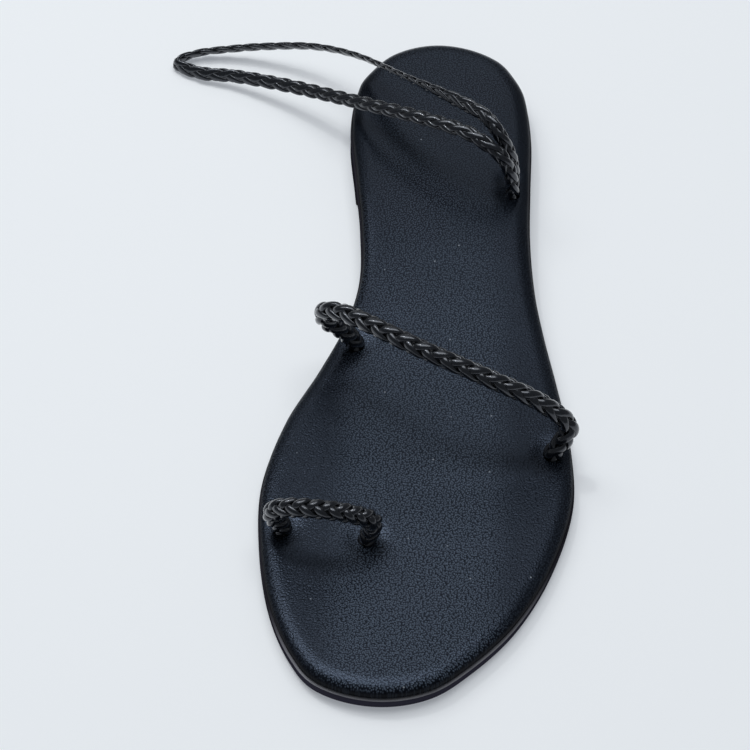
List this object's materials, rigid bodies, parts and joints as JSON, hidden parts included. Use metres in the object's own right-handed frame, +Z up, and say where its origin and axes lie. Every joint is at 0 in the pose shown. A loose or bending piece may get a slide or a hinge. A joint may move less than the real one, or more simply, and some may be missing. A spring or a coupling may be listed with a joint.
{
  "type": "flat sandal",
  "caption": "Slip-on flat sandal: leather footbed on a rubber outsole with a low heel, held by a braided toe loop, a braided strap across the forefoot and a slack braided ankle loop.",
  "frame": {"origin": "on the floor, at the middle of the heel's tread", "axes": "+Z up, -Y from heel to toe, +X to the outer side of the foot"},
  "size_m": [0.1325, 0.25, 0.0409],
  "materials": {
    "outsole_rubber": "smooth black rubber, satin edge",
    "footbed_leather": "fine-grained black leather, satin",
    "cord_leather": "smooth black leather strips in a round braid, semi-gloss"
  },
  "bodies": {
    "root": {"outsole": "outsole_rubber", "footbed": "footbed_leather", "toe_loop": "cord_leather", "instep_strap": "cord_leather", "ankle_loop": "cord_leather"}
  },
  "joints": []
}
